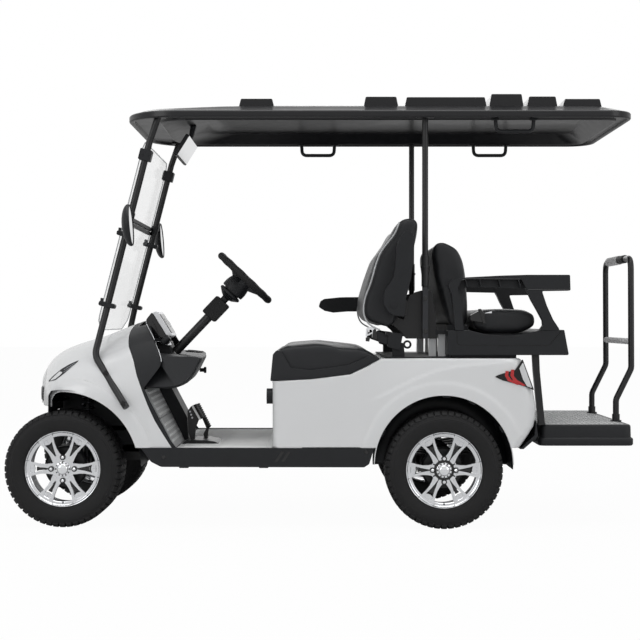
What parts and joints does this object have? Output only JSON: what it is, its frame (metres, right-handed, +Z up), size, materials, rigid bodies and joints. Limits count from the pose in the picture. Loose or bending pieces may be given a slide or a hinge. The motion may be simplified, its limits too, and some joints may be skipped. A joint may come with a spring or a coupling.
{
  "type": "four-seat electric golf cart",
  "caption": "Open golf cart with a canopy, folding windshield, front bench, rear-facing bench with footrest and grab bar, and steered alloy wheels.",
  "frame": {"origin": "on the ground under the middle of the cart's bounding box", "axes": "+Z up, the nose towards -X, the cart's left side towards -Y"},
  "size_m": [2.8269, 1.314, 1.923],
  "materials": {
    "tyre": "tread rubber",
    "alloy": "machined and clear-coated",
    "frame_steel": "black powder coat",
    "zinc_steel": "plated",
    "black_tube": "satin black powder coat",
    "body_white": "gloss white",
    "black_plastic": "fine-grained black",
    "lamp_white": "clear lens",
    "lamp_red": "red lens",
    "vinyl": "charcoal vinyl",
    "floor_mat": "grey ribbed mat",
    "chequer_plate": "diamond plate",
    "foam_grip": "foam",
    "clear_pane": "clear acrylic",
    "mirror": "silvered glass in a black shell",
    "cell_case": "case"
  },
  "bodies": {
    "chassis": {"frame_rails": "frame_steel", "cross_members": "frame_steel", "front_axle": "frame_steel", "front_shocks": "zinc_steel", "rear_axle": "frame_steel", "drive_motor": "frame_steel", "leaf_springs": "frame_steel", "battery_pack": "cell_case", "front_cowl": "body_white", "cowl_shields": "black_plastic", "headlights": "lamp_white", "front_liners": "black_plastic", "dash": "black_plastic", "steering_column": "black_plastic", "floor_pan": "floor_mat", "toe_board": "chequer_plate", "tunnel_cover": "black_plastic", "pedals": "frame_steel", "rocker_panels": "black_plastic", "rear_body": "body_white", "rear_liners": "black_plastic", "rear_valance": "black_plastic", "tail_lights": "lamp_red", "charger_port": "black_plastic", "front_seat_back": "vinyl", "seat_supports": "black_tube", "rear_seat_back": "vinyl", "rear_seat_box": "black_plastic", "rear_seat_arms": "black_plastic", "rear_posts": "black_tube", "seat_belts": "black_plastic", "footrest": "black_plastic", "grab_bar": "black_tube", "grab_grip": "foam_grip", "front_struts": "black_tube", "rear_struts": "black_tube", "roof": "black_plastic", "roof_handles": "black_plastic", "windshield_lower": "clear_pane", "strut_clamps": "black_plastic", "mirrors": "mirror"},
    "knuckle_left": {"knuckle_left": "frame_steel"},
    "knuckle_right": {"knuckle_right": "frame_steel"},
    "wheel_front_left": {"tyre_front_left": "tyre", "rim_front_left": "alloy"},
    "wheel_front_right": {"tyre_front_right": "tyre", "rim_front_right": "alloy"},
    "wheel_rear_left": {"tyre_rear_left": "tyre", "rim_rear_left": "alloy"},
    "wheel_rear_right": {"tyre_rear_right": "tyre", "rim_rear_right": "alloy"},
    "steering": {"steering_wheel": "black_plastic"},
    "windshield_top": {"windshield_upper": "clear_pane"},
    "front_seat_lid": {"front_seat_cushion": "vinyl"},
    "rear_seat_lid": {"rear_seat_cushion": "vinyl"},
    "arm_left": {"armrest_left": "black_plastic"},
    "arm_right": {"armrest_right": "black_plastic"}
  },
  "joints": [
    {"name": "steering_turn", "type": "hinge", "parent": "chassis", "child": "steering", "pos_m": [-0.367, -0.25, 1.104], "axis": [0.6896, 0, 0.7242], "range_deg": [-336, 336]},
    {"name": "steer_left", "type": "hinge", "parent": "chassis", "child": "knuckle_left", "pos_m": [-1.1525, -0.34, 0.257], "axis": [0, 0, 1], "range_deg": [-28, 28]},
    {"name": "steer_right", "type": "hinge", "parent": "chassis", "child": "knuckle_right", "pos_m": [-1.1525, 0.34, 0.257], "axis": [0, 0, 1], "range_deg": [-28, 28]},
    {"name": "roll_front_left", "type": "hinge", "parent": "knuckle_left", "child": "wheel_front_left", "pos_m": [-1.1525, -0.435, 0.257], "axis": [0, 1, 0], "continuous": true},
    {"name": "roll_front_right", "type": "hinge", "parent": "knuckle_right", "child": "wheel_front_right", "pos_m": [-1.1525, 0.435, 0.257], "axis": [0, 1, 0], "continuous": true},
    {"name": "roll_rear_left", "type": "hinge", "parent": "chassis", "child": "wheel_rear_left", "pos_m": [0.5175, -0.49, 0.257], "axis": [0, 1, 0], "continuous": true},
    {"name": "roll_rear_right", "type": "hinge", "parent": "chassis", "child": "wheel_rear_right", "pos_m": [0.5175, 0.49, 0.257], "axis": [0, 1, 0], "continuous": true},
    {"name": "windshield_fold", "type": "hinge", "parent": "chassis", "child": "windshield_top", "pos_m": [-0.90094, 0, 1.361], "axis": [0, -1, 0], "range_deg": [0, 165]},
    {"name": "front_seat_lift", "type": "hinge", "parent": "chassis", "child": "front_seat_lid", "pos_m": [0.245, 0, 0.741], "axis": [0, 1, 0], "range_deg": [0, 45]},
    {"name": "rear_seat_lift", "type": "hinge", "parent": "chassis", "child": "rear_seat_lid", "pos_m": [0.954, 0, 0.867], "axis": [0, 1, 0], "range_deg": [0, 80]},
    {"name": "armrest_left_fold", "type": "hinge", "parent": "chassis", "child": "arm_left", "pos_m": [0.303, -0.547, 0.975], "axis": [0, -1, 0], "range_deg": [0, 98]},
    {"name": "armrest_right_fold", "type": "hinge", "parent": "chassis", "child": "arm_right", "pos_m": [0.303, 0.547, 0.975], "axis": [0, 1, 0], "range_deg": [0, 98]}
  ],
  "couplings": [
    {"joint": "steer_left", "follows": "steering_turn", "ratio": 0.083333},
    {"joint": "steer_right", "follows": "steering_turn", "ratio": 0.083333}
  ]
}
